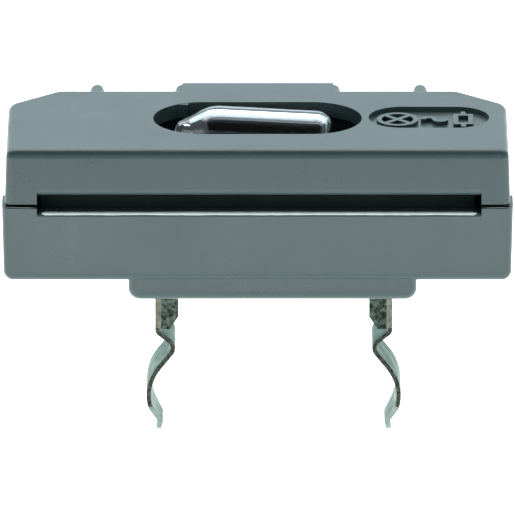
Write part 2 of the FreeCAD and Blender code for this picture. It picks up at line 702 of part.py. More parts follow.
def make_contact_shank(side, sign):
    body = new_body(f"{side}_contact_shank")
    section = sketch_on(body, f"{side}ShankSection", "XY_Plane", "-shank_drop")
    run_of_lines(section, contact_outline(sign), rounds=[(0, "contact_bend")])
    extrude(body, "Pad", section, "shank_drop + base_floor + blade_rise")
    corner = sketch_on(body, f"{side}FlangeCut", "XZ_Plane", "leaf_width")
    free = from_centre(sign, "contact_reach - flange_width")
    kept = from_centre(sign, "contact_reach - flange_width + flange_cut_width")
    beyond = from_centre(sign, "contact_reach - 2 * flange_width")
    run_of_lines(corner, [(free, "flange_cut_height - shank_drop"), (kept, "-shank_drop"),
                          (kept, "-shank_drop - strip"), (beyond, "-shank_drop - strip"),
                          (beyond, "flange_cut_height - shank_drop")])
    extrude(body, "Pocket", corner, "leaf_width")
    return body


def make_contact_leg(side, sign):
    body = new_body(f"{side}_contact_leg")
    top = "-shank_drop - leg_gap"
    middle = from_centre(sign, "contact_reach - strip / 2")
    path = sketch_on(body, f"{side}LegPath", "XZ_Plane")
    run_of_lines(path, [(middle, top), (middle, f"{top} - leg_start"),
                        (from_centre(sign, "leg_waist_reach"), "-leg_waist_drop"),
                        (from_centre(sign, "leg_bulge_reach"), "-leg_bulge_drop"),
                        (from_centre(sign, "leg_knee_reach"), "-leg_knee_drop"),
                        (from_centre(sign, "leg_tip_reach"), "-leg_tip_drop")],
                 closed=False, rounds=[(1, "leg_root_bend"), (2, "leg_waist_bend"), (3, "leg_bulge_bend"),
                                       (4, "leg_knee_bend")])
    section = sketch_on(body, f"{side}LegSection", "XY_Plane", top)
    rectangle(section, f"{middle} - strip / 2", f"{middle} + strip / 2", "-leaf_width / 2", "leaf_width / 2")
    pipe(body, path, section)

    # The tip is sheared to a point: a long cut at the front and a short one at the back.
    below = "-leg_tip_drop - strip"
    cuts = {"Front": (-1, "leg_cut_start", "leg_cut_reach"),
            "Back": (1, "(leg_tip_drop - leg_back_cut)", "(leaf_width / 2 - leg_back_cut)")}
    for name, (edge, start, kept) in cuts.items():
        cut = sketch_on(body, f"{side}Leg{name}Cut", "YZ_Plane", "contact_centre")
        beyond, side_edge = f"({edge}) * leaf_width", f"({edge}) * leaf_width / 2"
        run_of_lines(cut, [(beyond, f"-{start}"), (side_edge, f"-{start}"),
                           (kept, "-leg_tip_drop"), (kept, below), (beyond, below)])
        extrude(body, "Pocket", cut, "2 * contact_reach", reverse=sign > 0)
    return body


def make_solder_joint(side, sign, lead, across):
    """A half ball of solder on the inner face of a contact, round the end of its lead."""
    ball = doc.addObject("Part::Sphere", f"{side}SolderBall")
    bind(ball, Radius="solder_round")
    ball.Angle1 = 0
    ball.Placement = FreeCAD.Placement(Vector(), FreeCAD.Rotation(Vector(0, 1, 0), -90 * sign))
    bind(ball, Placement__Base__x=from_centre(sign, CONTACT_INSIDE), Placement__Base__y=across,
         Placement__Base__z=f"{LEAD_FOOT} + solder_round / 2")
    joint = doc.addObject("Part::Cut", f"{side}_solder_joint")
    joint.Base = ball
    joint.Tool = doc.getObject(lead)
    joint.Label = f"{side}_solder_joint"
    doc.recompute()
    return joint


def make_all():
    make_base_housing()
    make_top_cover()
    make_lamp_envelope()
    make_electrode("front_electrode", -1)
    make_electrode("rear_electrode", 1)
    make_resistor()
    make_leads()
    for side, sign in SIDES.items():
        make_contact_shank(side, sign)
        make_contact_leg(side, sign)
    make_solder_joint("left", -1, "rear_lamp_lead", SLEEVED_Y)
    make_solder_joint("right", 1, "right_resistor_lead", RESISTOR_Y)
    doc.recompute()


NODES = [
    "base_housing", "top_cover", "lamp_envelope", "front_electrode", "rear_electrode",
    "front_lamp_lead", "rear_lamp_lead", "resistor_core", "resistor_coating",
    "left_resistor_cap", "right_resistor_cap", "left_resistor_lead", "right_resistor_lead",
    "splice_ferrule", "insulating_sleeve", "left_contact_shank", "right_contact_shank",
    "left_contact_leg", "right_contact_leg", "left_solder_joint", "right_solder_joint",
]


def check_and_write():
    """Stop on any failed object or bad solid, then write one STEP file for each node."""
    for item in doc.Objects:
        if {"Invalid", "Error"} & set(item.State):
            raise RuntimeError(f"{item.Label} did not recompute: {item.State}")
    for name in NODES:
        shape = doc.getObject(name).Shape
        if shape.isNull() or not shape.isValid() or len(shape.Solids) != 1:
            raise RuntimeError(f"{name} is not one valid solid")
    os.makedirs("parts", exist_ok=True)
    for name in NODES:
        doc.getObject(name).Shape.exportStep(f"parts/{name}.step")


make_all()
check_and_write()
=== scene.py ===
import json
import math
import random

import bmesh
import bpy
from mathutils import Matrix, Vector


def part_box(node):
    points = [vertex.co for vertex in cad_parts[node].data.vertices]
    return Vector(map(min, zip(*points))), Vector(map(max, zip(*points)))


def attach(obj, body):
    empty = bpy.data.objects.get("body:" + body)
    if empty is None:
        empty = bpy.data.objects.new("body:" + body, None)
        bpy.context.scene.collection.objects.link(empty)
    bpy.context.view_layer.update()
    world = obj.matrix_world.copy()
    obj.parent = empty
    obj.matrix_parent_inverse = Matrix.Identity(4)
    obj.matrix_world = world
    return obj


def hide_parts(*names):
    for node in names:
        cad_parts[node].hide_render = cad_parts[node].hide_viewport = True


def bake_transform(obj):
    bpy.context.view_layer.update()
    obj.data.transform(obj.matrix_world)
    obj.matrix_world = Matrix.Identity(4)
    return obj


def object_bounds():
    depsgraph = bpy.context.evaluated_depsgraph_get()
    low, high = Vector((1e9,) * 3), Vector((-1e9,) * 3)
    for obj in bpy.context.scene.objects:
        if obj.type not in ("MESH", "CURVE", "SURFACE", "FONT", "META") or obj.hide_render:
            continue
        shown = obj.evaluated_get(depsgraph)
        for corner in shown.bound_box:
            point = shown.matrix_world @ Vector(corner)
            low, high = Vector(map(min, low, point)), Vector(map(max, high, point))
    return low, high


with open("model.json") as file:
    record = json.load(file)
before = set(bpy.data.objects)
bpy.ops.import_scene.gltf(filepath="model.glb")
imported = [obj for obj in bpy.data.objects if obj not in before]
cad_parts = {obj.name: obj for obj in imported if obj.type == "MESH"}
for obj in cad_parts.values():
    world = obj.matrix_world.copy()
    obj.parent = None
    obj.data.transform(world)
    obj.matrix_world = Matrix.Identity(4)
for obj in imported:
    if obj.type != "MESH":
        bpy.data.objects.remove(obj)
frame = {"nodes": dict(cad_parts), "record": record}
cad_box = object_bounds()

# Plug-in glow lamp insert.  X runs along the case, Y to its back and Z up, in metres.

MM = 0.001
SIDES = {"left": -1, "right": 1}
base_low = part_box("base_housing")[0]
shanks = {side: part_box(f"{side}_contact_shank") for side in SIDES}
BASE_TOP = 4.7 * MM
SLOT_BELOW = 0.31 * MM
FLOOR_INSIDE = 1.0 * MM
CONTACT_CENTRE = (shanks["left"][0].x + shanks["right"][1].x) / 2
CONTACT_REACH = (shanks["right"][1].x - shanks["left"][0].x) / 2


# ---------------------------------------------------------------- shader building

def add(tree, kind, inputs=None, **settings):
    """A node with its settings, and its inputs given as plain values or as sockets to link from."""
    made = tree.nodes.new(kind)
    for name, value in settings.items():
        setattr(made, name, value)
    for name, value in (inputs or {}).items():
        socket = made.inputs[name]
        if isinstance(value, bpy.types.NodeSocket):
            tree.links.new(value, socket)
        else:
            socket.default_value = value
    return made


def maths(tree, operation, first, second=0.0, clamp=False):
    return add(tree, "ShaderNodeMath", {0: first, 1: second}, operation=operation, use_clamp=clamp).outputs[0]


def spread(tree, value, low, high, to_low=0.0, to_high=1.0):
    """Stretch a value from one range to another, held inside the second."""
    return add(tree, "ShaderNodeMapRange", {"Value": value, "From Min": low, "From Max": high,
                                            "To Min": to_low, "To Max": to_high}).outputs[0]


def noise(tree, place, scale, detail=2.0, stretch=(1, 1, 1)):
    """Noise whose grains are 1 / scale metres across, drawn out along the axes by stretch."""
    if stretch != (1, 1, 1):
        place = add(tree, "ShaderNodeMapping", {"Vector": place, "Scale": stretch}).outputs[0]
    return add(tree, "ShaderNodeTexNoise", {"Vector": place, "Scale": scale, "Detail": detail}).outputs["Fac"]


def blend_colours(tree, mask, first, second):
    made = add(tree, "ShaderNodeMix", data_type="RGBA")
    for socket, value in zip((made.inputs[0], made.inputs[6], made.inputs[7]), (mask, first, second)):
        if isinstance(value, bpy.types.NodeSocket):
            tree.links.new(value, socket)
        else:
            socket.default_value = value
    return made.outputs[2]


def new_group(name, inputs, outputs):
    """A shader node group with number inputs and named outputs; returns its tree, inputs and output node."""
    tree = bpy.data.node_groups.new(name, "ShaderNodeTree")
    for label, value in inputs.items():
        tree.interface.new_socket(label, in_out="INPUT", socket_type="NodeSocketFloat").default_value = value
    for label, kind in outputs.items():
        tree.interface.new_socket(label, in_out="OUTPUT", socket_type=f"NodeSocket{kind}")
    entry, leave = tree.nodes.new("NodeGroupInput"), tree.nodes.new("NodeGroupOutput")
    return tree, entry.outputs, leave.inputs


def object_place(tree):
    return tree.nodes.new("ShaderNodeTexCoord").outputs["Object"]


def moulded_grain_group():
    """Skin of a moulded part: fine grain, slow tone changes, and marks drawn along the mould's pull."""
    tree, given, out = new_group("MouldedGrain", {"Grain Size": 0.12, "Draw Marks": 1.0},
                                 {"Height": "Float", "Tone": "Float", "Roughness": "Float"})
    place = object_place(tree)
    fine = noise(tree, place, maths(tree, "DIVIDE", 1 / MM, given["Grain Size"]), 3)
    slow = noise(tree, place, 260, 3)
    drawn = noise(tree, place, 1500, 2, (1, 1, 0.03))
    drawn = maths(tree, "MULTIPLY", maths(tree, "SUBTRACT", drawn, 0.5), given["Draw Marks"])
    height = maths(tree, "ADD", maths(tree, "MULTIPLY", fine, 0.35), drawn)
    tone = maths(tree, "ADD", spread(tree, slow, 0.3, 0.7, -0.15, 0.15), maths(tree, "MULTIPLY", drawn, 1.4))
    tone = maths(tree, "ADD", tone, spread(tree, fine, 0.3, 0.7, 0.35, 0.65))
    rough = maths(tree, "ADD", spread(tree, slow, 0.3, 0.7, -0.05, 0.05),
                  spread(tree, fine, 0.3, 0.7, -0.04, 0.04))
    tree.links.new(height, out["Height"])
    tree.links.new(tone, out["Tone"])
    tree.links.new(rough, out["Roughness"])
    return tree


def soft_edge_group():
    """Rounds sharp edges in the shading and gives a mask of where they are."""
    tree, given, out = new_group("SoftEdge", {"Round": 0.06, "Wear": 1.0},
                                 {"Normal": "Vector", "Edge": "Float"})
    radius = maths(tree, "MULTIPLY", given["Round"], MM)
    rounded = add(tree, "ShaderNodeBevel", {"Radius": radius}, samples=4).outputs[0]
    flat = tree.nodes.new("ShaderNodeNewGeometry").outputs["Normal"]
    double = maths(tree, "MULTIPLY", radius, 2.0)
    wide = add(tree, "ShaderNodeBevel", {"Radius": double}, samples=4).outputs[0]
    turned = add(tree, "ShaderNodeVectorMath", {0: wide, 1: flat}, operation="DOT_PRODUCT").outputs["Value"]
    patchy = spread(tree, noise(tree, object_place(tree), 1400, 3), 0.35, 0.65)
    edge = maths(tree, "MULTIPLY", spread(tree, turned, 0.97, 0.75), patchy)
    tree.links.new(rounded, out["Normal"])
    tree.links.new(maths(tree, "MULTIPLY", edge, given["Wear"]), out["Edge"])
    return tree


def dust_group():
    """Specks of dust, thicker on faces that look upwards."""
    tree, given, out = new_group("SettledDust", {"Amount": 0.5, "Speck Size": 0.1}, {"Dust": "Float"})
    place = object_place(tree)
    specks = add(tree, "ShaderNodeTexVoronoi", {
        "Vector": place, "Scale": maths(tree, "DIVIDE", 0.35 / MM, given["Speck Size"])}).outputs["Distance"]
    speck = spread(tree, specks, 0.16, 0.05)
    where = spread(tree, noise(tree, place, 700, 4), 0.5, 0.66)
    up = add(tree, "ShaderNodeSeparateXYZ", {0: tree.nodes.new("ShaderNodeNewGeometry").outputs["Normal"]})
    facing = spread(tree, up.outputs["Z"], -0.2, 0.9, 0.35, 1.0)
    dust = maths(tree, "MULTIPLY", maths(tree, "MULTIPLY", speck, where), facing)
    tree.links.new(maths(tree, "MULTIPLY", dust, given["Amount"], clamp=True), out["Dust"])
    return tree


def deep_shade_group():
    """How far a place lies down in a hollow, from 0 in the open to 1 deep inside; the mask for painted shade.
    """
    tree, given, out = new_group("DeepShade", {"Reach": 2.0, "Depth": 1.0}, {"Shade": "Float"})
    reach = maths(tree, "MULTIPLY", given["Reach"], MM)
    open_sky = add(tree, "ShaderNodeAmbientOcclusion", {"Distance": reach}, samples=8).outputs["AO"]
    shade = spread(tree, open_sky, 0.42, 0.2)
    tree.links.new(maths(tree, "MULTIPLY", shade, given["Depth"]), out["Shade"])
    return tree


def tin_mottle_group():
    """Tin plate: grains of plating, dull patches and small pits."""
    tree, given, out = new_group("TinMottle", {"Grain Size": 0.3, "Pits": 0.5},
                                 {"Dull": "Float", "Height": "Float"})
    place = object_place(tree)
    scale = maths(tree, "DIVIDE", 1 / MM, given["Grain Size"])
    grains = add(tree, "ShaderNodeTexVoronoi", {"Vector": place, "Scale": scale}).outputs["Color"]
    grain = add(tree, "ShaderNodeSeparateColor", {0: grains}).outputs[0]
    patches = noise(tree, place, maths(tree, "MULTIPLY", scale, 0.6), 5)
    pits = spread(tree, noise(tree, place, maths(tree, "MULTIPLY", scale, 2.6), 3), 0.56, 0.68)
    pits = maths(tree, "MULTIPLY", pits, given["Pits"])
    dull = maths(tree, "ADD", spread(tree, patches, 0.38, 0.62, 0.0, 0.7),
                 maths(tree, "MULTIPLY", grain, 0.3))
    dull = maths(tree, "ADD", dull, pits, clamp=True)
    height = maths(tree, "SUBTRACT", maths(tree, "MULTIPLY", patches, 0.5), pits)
    tree.links.new(dull, out["Dull"])
    tree.links.new(height, out["Height"])
    return tree


GROUPS = {"grain": moulded_grain_group(), "edge": soft_edge_group(), "dust": dust_group(),
          "shade": deep_shade_group(), "mottle": tin_mottle_group()}


def use(tree, group, **values):
    made = tree.nodes.new("ShaderNodeGroup")
    made.node_tree = GROUPS[group]
    for label, value in values.items():
        made.inputs[label.replace("_", " ")].default_value = value
    return made.outputs


def new_finish(name, **plain):
    """A material with a Principled shader; plain values go straight onto its sockets."""
    made = bpy.data.materials.new(name)
    made.use_nodes = True
    tree = made.node_tree
    shader = next(item for item in tree.nodes if item.type == "BSDF_PRINCIPLED")
    for label, value in plain.items():
        shader.inputs[label.replace("_", " ")].default_value = value
    return made, tree, shader.inputs


def bump(tree, height, depth_mm, normal=None):
    inputs = {"Height": height, "Strength": 1.0, "Distance": depth_mm * MM}
    if normal is not None:
        inputs["Normal"] = normal
    return add(tree, "ShaderNodeBump", inputs).outputs[0]


def grey(level, green=1.0, blue=1.0):
    return (level, level * green, level * blue, 1)


def plastic_finish(name, dark, light, roughness, grain_size, draw_marks, round_mm, wear, dust, depth_mm,
                   shade_mm=2.5, shade_depth=0.85):
    """Moulded plastic: two tones of its colour, skin grain, rounded worn edges, a little dust, and painted
    shade darkening its hollows.
    """
    made, tree, shader = new_finish(name, IOR=1.5)
    grain = use(tree, "grain", Grain_Size=grain_size, Draw_Marks=draw_marks)
    edge = use(tree, "edge", Round=round_mm, Wear=wear)
    specks = use(tree, "dust", Amount=dust)
    colour = blend_colours(tree, grain["Tone"], dark, light)
    worn = tuple(min(1, part * 1.5) for part in light[:3]) + (1,)
    colour = blend_colours(tree, edge["Edge"], colour, worn)
    colour = blend_colours(tree, specks["Dust"], colour, (0.3, 0.32, 0.31, 1))
    # Painted shade: deep in hollows the colour sinks towards 0.12 of the dark tone.
    deep = use(tree, "shade", Reach=shade_mm, Depth=shade_depth)
    colour = blend_colours(tree, deep["Shade"], colour, tuple(part * 0.12 for part in dark[:3]) + (1,))
    tree.links.new(colour, shader["Base Color"])
    tree.links.new(maths(tree, "ADD", grain["Roughness"], roughness), shader["Roughness"])
    tree.links.new(bump(tree, grain["Height"], depth_mm, edge["Normal"]), shader["Normal"])
    return made


def metal_finish(name, bright, dull, roughness, grain_size, pits, depth_mm, round_mm=0.03, rougher=0.25):
    """Plated metal: bright and dull patches, pits, and softened edges."""
    made, tree, shader = new_finish(name, Metallic=1.0, Specular_Tint=(0.62, 0.68, 0.65, 1))
    mottle = use(tree, "mottle", Grain_Size=grain_size, Pits=pits)
    edge = use(tree, "edge", Round=round_mm, Wear=1.0)
    colour = blend_colours(tree, mottle["Dull"], bright, dull)
    tree.links.new(blend_colours(tree, edge["Edge"], colour, bright), shader["Base Color"])
    tree.links.new(spread(tree, mottle["Dull"], 0, 1, roughness, roughness + rougher), shader["Roughness"])
    tree.links.new(bump(tree, mottle["Height"], depth_mm, edge["Normal"]), shader["Normal"])
    return made


def glass_finish(name):
    """Drawn glass tinted blue-grey, which darkens all seen through it as painted shade for the tube's dark
    inside, with faint smears and slow waves along the tube.
    """
    made, tree, shader = new_finish(name, Base_Color=(0.52, 0.58, 0.64, 1), IOR=1.85, Transmission_Weight=1.0)
    place = object_place(tree)
    smear = spread(tree, noise(tree, place, 500, 4, (0.3, 1, 1)), 0.5, 0.75, 0.0, 0.04)
    tree.links.new(smear, shader["Roughness"])
    tree.links.new(bump(tree, noise(tree, place, 250, 1, (0.3, 1, 1)), 0.01), shader["Normal"])
    return made


def banded_finish(name, body, bands, middle, half_length):
    """Lacquer with painted bands round the resistor; bands are (place along it, half width, colour)."""
    made, tree, shader = new_finish(name, IOR=1.5, Coat_Weight=0.4)
    place = object_place(tree)
    along = add(tree, "ShaderNodeSeparateXYZ", {0: place}).outputs["X"]
    along = maths(tree, "DIVIDE", maths(tree, "SUBTRACT", along, middle), half_length)
    along = maths(tree, "ADD", along, spread(tree, noise(tree, place, 1500, 3), 0, 1, -0.025, 0.025))
    speckle = spread(tree, noise(tree, place, 5000, 3), 0.35, 0.7)
    colour = blend_colours(tree, speckle, body, tuple(part * 0.8 for part in body[:3]) + (1,))
    for centre, half_width, paint in bands:
        off = maths(tree, "ABSOLUTE", maths(tree, "SUBTRACT", along, centre))
        colour = blend_colours(tree, spread(tree, off, half_width, half_width * 0.85), colour, paint)
    tree.links.new(colour, shader["Base Color"])
    tree.links.new(spread(tree, speckle, 0, 1, 0.25, 0.45), shader["Roughness"])
    tree.links.new(bump(tree, noise(tree, place, 3000, 2), 0.02), shader["Normal"])
    return made


CASE_DARK = (0.034, 0.062, 0.064, 1)
CASE_LIGHT = (0.044, 0.076, 0.078, 1)
case_plastic = plastic_finish(
    "moulded_grey_plastic", CASE_DARK, CASE_LIGHT,
    roughness=0.33, grain_size=0.14, draw_marks=0.6, round_mm=0.05, wear=0.2, dust=0.15, depth_mm=0.004)
flash_plastic = plastic_finish(
    "trimmed_flash", grey(0.54, 1.12, 1.08), grey(0.7, 1.1, 1.06),
    roughness=0.5, grain_size=0.06, draw_marks=1.0, round_mm=0.02, wear=0.4, dust=0.2, depth_mm=0.01,
    shade_depth=0.2)
sleeve_plastic = plastic_finish(
    "sleeve_tube", grey(0.62), grey(0.72),
    roughness=0.4, grain_size=0.2, draw_marks=0.4, round_mm=0.03, wear=0.2, dust=0.3, depth_mm=0.01)
ceramic = plastic_finish(
    "fired_ceramic", grey(0.66, 0.98, 0.93), grey(0.76, 0.98, 0.94),
    roughness=0.6, grain_size=0.08, draw_marks=0.1, round_mm=0.03, wear=0.2, dust=0.3, depth_mm=0.02)
tin_strip = metal_finish(
    "tinned_spring_strip", (0.27, 0.34, 0.305, 1), (0.215, 0.27, 0.24, 1),
    roughness=0.34, grain_size=0.5, pits=0.2, depth_mm=0.003)
tin_mottled = metal_finish(
    "mottled_tin_plate", (0.09, 0.115, 0.098, 1), (0.008, 0.014, 0.012, 1),
    roughness=0.24, grain_size=0.16, pits=0.7, depth_mm=0.010)
sheared_edge = metal_finish(
    "sheared_strip_edge", (0.10, 0.11, 0.085, 1), (0.02, 0.022, 0.016, 1),
    roughness=0.4, grain_size=0.1, pits=0.5, depth_mm=0.01)
# A darker tin for the blade and the bend above the shank's foot.
tin_bend = metal_finish(
    "darker_tin_blade_and_bend", (0.17, 0.18, 0.14, 1), (0.10, 0.11, 0.085, 1),
    roughness=0.3, grain_size=0.2, pits=0.3, depth_mm=0.006)
tin_wire = metal_finish(
    "tinned_lead_wire", (0.80, 0.80, 0.77, 1), (0.5, 0.5, 0.47, 1),
    roughness=0.18, grain_size=0.25, pits=0.4, depth_mm=0.008)
# The electrodes' nickel, coloured far darker than bright nickel: painted shade for the lamp's dark inside.
nickel = metal_finish(
    "drawn_nickel_painted_shade", (0.09, 0.10, 0.11, 1), (0.04, 0.045, 0.05, 1),
    roughness=0.35, grain_size=0.4, pits=0.3, depth_mm=0.006)
solder = metal_finish(
    "soft_solder", (0.8, 0.81, 0.82, 1), (0.5, 0.51, 0.52, 1),
    roughness=0.16, grain_size=0.5, pits=0.3, depth_mm=0.015)
lamp_glass = glass_finish("clear_lamp_glass")
core_low, core_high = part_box("resistor_coating")
lacquer = banded_finish(
    "banded_lacquer", (0.56, 0.42, 0.24, 1),
    [(-0.7, 0.10, (0.32, 0.03, 0.02, 1)), (-0.32, 0.10, (0.30, 0.03, 0.25, 1)),
     (0.06, 0.10, (0.65, 0.45, 0.03, 1)), (0.68, 0.10, (0.50, 0.33, 0.10, 1))],
    (core_low.x + core_high.x) / 2, (core_high.x - core_low.x) / 2)


# ---------------------------------------------------------------- mesh building

def mesh_from(name, points, faces):
    """An object from points and faces, outward facing, smooth with sharp corners kept."""
    mesh = bpy.data.meshes.new(name)
    mesh.from_pydata([tuple(point) for point in points], [], faces)
    work = bmesh.new()
    work.from_mesh(mesh)
    bmesh.ops.remove_doubles(work, verts=work.verts, dist=1e-7)
    bmesh.ops.recalc_face_normals(work, faces=work.faces)
    work.to_mesh(mesh)
    work.free()
    mesh.shade_smooth()
    mesh.set_sharp_from_angle(angle=math.radians(32))
    made = bpy.data.objects.new(name, mesh)
    bpy.context.scene.collection.objects.link(made)
    return made


def skin_rings(rings):
    """Points and faces of a closed form skinned over rings of equal count, with both ends capped."""
    count = len(rings[0])
    points = [point for ring in rings for point in ring]
    faces = [tuple(range(count)), tuple(reversed(range(len(points) - count, len(points))))]
    for row in range(len(rings) - 1):
        for column in range(count):
            beside = (column + 1) % count
            faces.append((row * count + column, row * count + beside,
                          (row + 1) * count + beside, (row + 1) * count + column))
    return points, faces


def finish_piece(piece, material, body=None, replaced=()):
    piece.data.materials.append(material)
    if body:
        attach(piece, body)
    if replaced:
        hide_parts(*replaced)
    return piece


def turned(name, profile, centre, segments=48):
    """A form turned about an axis along X through centre, from (along, radius) pairs."""
    rings = []
    for along, radius in profile:
        ring = []
        for step in range(segments):
            angle = 2 * math.pi * step / segments
            ring.append(centre + Vector((along, radius * math.cos(angle), radius * math.sin(angle))))
        rings.append(ring)
    return mesh_from(name, *skin_rings(rings))


# ---------------------------------------------------------------- contact strips

STRIP = 0.3 * MM
LEG_CORNERS = [(7.0, -4.69, 0.25), (5.845, -5.63, 0.59), (8.04, -8.39, 2.87), (6.83, -10.9, 0.3)]
LEG_TIP = (6.97, -11.6)
FLANGE = 1.4 * MM
FLANGE_CUT = (0.5 * MM, 0.8 * MM)
FRONT_CUT = (-9.4 * MM, 0.4 * MM)
BACK_CUT = 0.5 * MM
EDGE_ROUND = 0.035 * MM
OUTER_BEND = 0.35 * MM
INNER_BEND = 0.08 * MM
SAME_PLACE = 1e-8
MOTTLED_FACE, SHEARED_EDGE, DARKER_BLADE_AND_BEND = 1, 2, 3


def rounded_path(corners, start, stop):
    """Points along straight runs joined by tangent arcs; corners are (x, z, radius)."""
    path = [Vector(start)]
    places = [Vector(start)] + [Vector(corner[:2]) for corner in corners] + [Vector(stop)]
    for index, (_, _, radius) in enumerate(corners, start=1):
        corner = places[index]
        before, after = (places[index - 1] - corner).normalized(), (places[index + 1] - corner).normalized()
        half = before.angle(after) / 2
        reach = radius / math.tan(half)
        centre = corner + (before + after).normalized() * (radius / math.sin(half))
        first, last = corner + before * reach - centre, corner + after * reach - centre
        turn = math.pi - 2 * half
        steps = max(6, round(turn / math.radians(7)))
        sign = 1 if first.x * last.y - first.y * last.x > 0 else -1
        for step in range(steps + 1):
            path.append(centre + Matrix.Rotation(sign * turn * step / steps, 2) @ first)
    path.append(Vector(stop))
    return path


def even_path(path, gap):
    """The same path with no two points further apart than gap."""
    made = [path[0]]
    for start, stop in zip(path, path[1:]):
        pieces = max(1, math.ceil((stop - start).length / gap))
        made += [start.lerp(stop, step / pieces) for step in range(1, pieces + 1)]
    return [place for index, place in enumerate(made)
            if index == 0 or (place - made[index - 1]).length > SAME_PLACE]


def strip_section(front, back, flange_end, bend):
    """Section of the strip as (inward, y) pairs; its turned front edge reaches flange_end inwards."""
    edge = EDGE_ROUND
    ring = [(edge, back), (0, back - edge)]
    for step in range(7):
        angle = math.pi / 2 * step / 6
        ring.append((bend - bend * math.cos(angle), front + bend - bend * math.sin(angle)))
    if flange_end > STRIP + edge:
        behind = front + STRIP
        ring += [(flange_end - edge, front), (flange_end, front + edge),
                 (flange_end, behind - edge), (flange_end - edge, behind)]
        for step in range(4):
            angle = math.pi / 2 * step / 3
            ring.append((STRIP + INNER_BEND - INNER_BEND * math.sin(angle),
                         behind + INNER_BEND - INNER_BEND * math.cos(angle)))
    else:
        ring += [(STRIP - edge, front), (STRIP, front + edge)]
        ring += [(STRIP, front + edge + edge * step / 6) for step in range(1, 7)]
    ring += [(STRIP, back - edge), (STRIP - edge, back)]
    return ring


def make_contact_strip(side, sign):
    """One stamped strip from the blade in the case, through the flanged shank, to the sprung leg's tip."""
    shank_low, shank_high = shanks[side]
    front, back = shank_low.y, shank_high.y
    middle = (CONTACT_REACH - STRIP / 2, shank_low.z)
    corners = [tuple(part * MM for part in corner) for corner in LEG_CORNERS]
    leg_path = even_path(rounded_path(corners, middle, [part * MM for part in LEG_TIP]), 0.3 * MM)
    cut_top = shank_low.z + FLANGE_CUT[1]
    heights = [shank_high.z, 3 * MM, 1 * MM, -1 * MM, -2.5 * MM, cut_top, cut_top - FLANGE_CUT[1] / 2]
    rings = []

    def place_ring(centre, inward, section):
        rings.append([Vector((CONTACT_CENTRE + sign * (centre.x + inward.x * (across - STRIP / 2)), y,
                              centre.y + inward.y * (across - STRIP / 2))) for across, y in section])

    level = Vector((-1, 0))
    for height in heights:
        narrowed = max(0.0, (cut_top - height) / FLANGE_CUT[1]) * FLANGE_CUT[0]
        place_ring(Vector((middle[0], height)), level,
                   strip_section(front, back, FLANGE - narrowed, OUTER_BEND))
    place_ring(Vector((middle[0], shank_low.z + 0.01 * MM)), level,
               strip_section(front, back, FLANGE - FLANGE_CUT[0], OUTER_BEND))
    for index, spot in enumerate(leg_path):
        ahead = leg_path[min(index + 1, len(leg_path) - 1)] - leg_path[max(index - 1, 0)]
        ahead.normalize()
        inward = Vector((ahead.y, -ahead.x))
        cut = min(1.0, max(0.0, (FRONT_CUT[0] - spot.y) / (FRONT_CUT[0] - LEG_TIP[1] * MM)))
        nipped = max(0.0, LEG_TIP[1] * MM + BACK_CUT - spot.y)
        section = strip_section(front + cut * (FRONT_CUT[1] - front), back - nipped, 0, EDGE_ROUND)
        place_ring(spot, inward, section)
    piece = mesh_from(f"{side}_contact_strip", *skin_rings(rings))
    finish_piece(piece, tin_strip,
                 replaced=(f"{side}_contact_shank", f"{side}_contact_leg"))
    for finish in (tin_mottled, sheared_edge, tin_bend):
        piece.data.materials.append(finish)
    bend_end = CONTACT_REACH - 1.2 * OUTER_BEND
    # Above the shank's foot the flange's front takes the mottled tin, and the blade and bend take the darker
    # tin.
    for face in piece.data.polygons:
        if face.center.z > shank_low.z:
            reach = abs(face.center.x - CONTACT_CENTRE)
            on_flange = reach < bend_end and face.center.y < front + 1.5 * STRIP
            face.material_index = MOTTLED_FACE if on_flange else DARKER_BLADE_AND_BEND
        elif abs(face.normal.y) > 0.8:
            face.material_index = SHEARED_EDGE
    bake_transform(piece)


# ---------------------------------------------------------------- solder, resistor

def make_solder_fillet(side):
    """Solder drawn up round the lead end and out over the contact's face."""
    low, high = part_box(f"{side}_solder_joint")
    sign = SIDES[side]
    wall = low.x if sign < 0 else high.x
    depth = high.x - low.x
    centre = Vector((wall, (low.y + high.y) / 2, (low.z + high.z) / 2))
    half = (high.y - low.y) / 2
    rings = []
    steps = 14
    for row in range(steps + 1):
        out = row / steps
        width = half * (0.42 + 0.58 * (1 - out) ** 1.7) if row < steps else half * 0.16
        ring = []
        for step in range(36):
            angle = 2 * math.pi * step / 36
            wobble = 1 + 0.05 * math.sin(3 * angle + 1.3 * sign) + 0.03 * math.sin(5 * angle)
            rise = width * wobble * (1.0 if row == 0 else 0.96)
            ring.append(centre + Vector((-sign * depth * math.sin(out * math.pi / 2) * 0.98,
                                         rise * math.cos(angle) * 0.94, rise * math.sin(angle) * 0.94)))
        rings.append(ring)
    piece = mesh_from(f"{side}_solder_fillet", *skin_rings(rings))
    finish_piece(piece, solder, "case", (f"{side}_solder_joint",))


def make_resistor_body():
    """Lacquered body with raised shoulders over the end caps and a waist between them."""
    low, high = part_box("resistor_coating")
    cap_low, cap_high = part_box("left_resistor_cap")[0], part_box("right_resistor_cap")[1]
    centre = (low + high) / 2
    waist = (high.z - low.z) / 2
    shoulder = (cap_high.z - cap_low.z) / 2 + 0.12 * MM
    reach = (cap_high.x - cap_low.x) / 2 + 0.1 * MM
    lead = 0.2 * MM
    half = [(0.0, waist), (0.35, waist), (0.5, waist * 1.02), (0.62, shoulder * 0.96), (0.72, shoulder),
            (0.86, shoulder), (0.93, shoulder * 0.94), (0.975, shoulder * 0.78), (0.995, shoulder * 0.5),
            (1.0, lead * 1.15)]
    profile = [(-along * reach, radius) for along, radius in reversed(half[1:])]
    profile += [(along * reach, radius) for along, radius in half]
    piece = turned("resistor_lacquer_body", profile, centre)
    finish_piece(piece, lacquer, "case",
                 ("resistor_coating", "resistor_core", "left_resistor_cap", "right_resistor_cap"))


# ---------------------------------------------------------------- moulding flash and pin marks

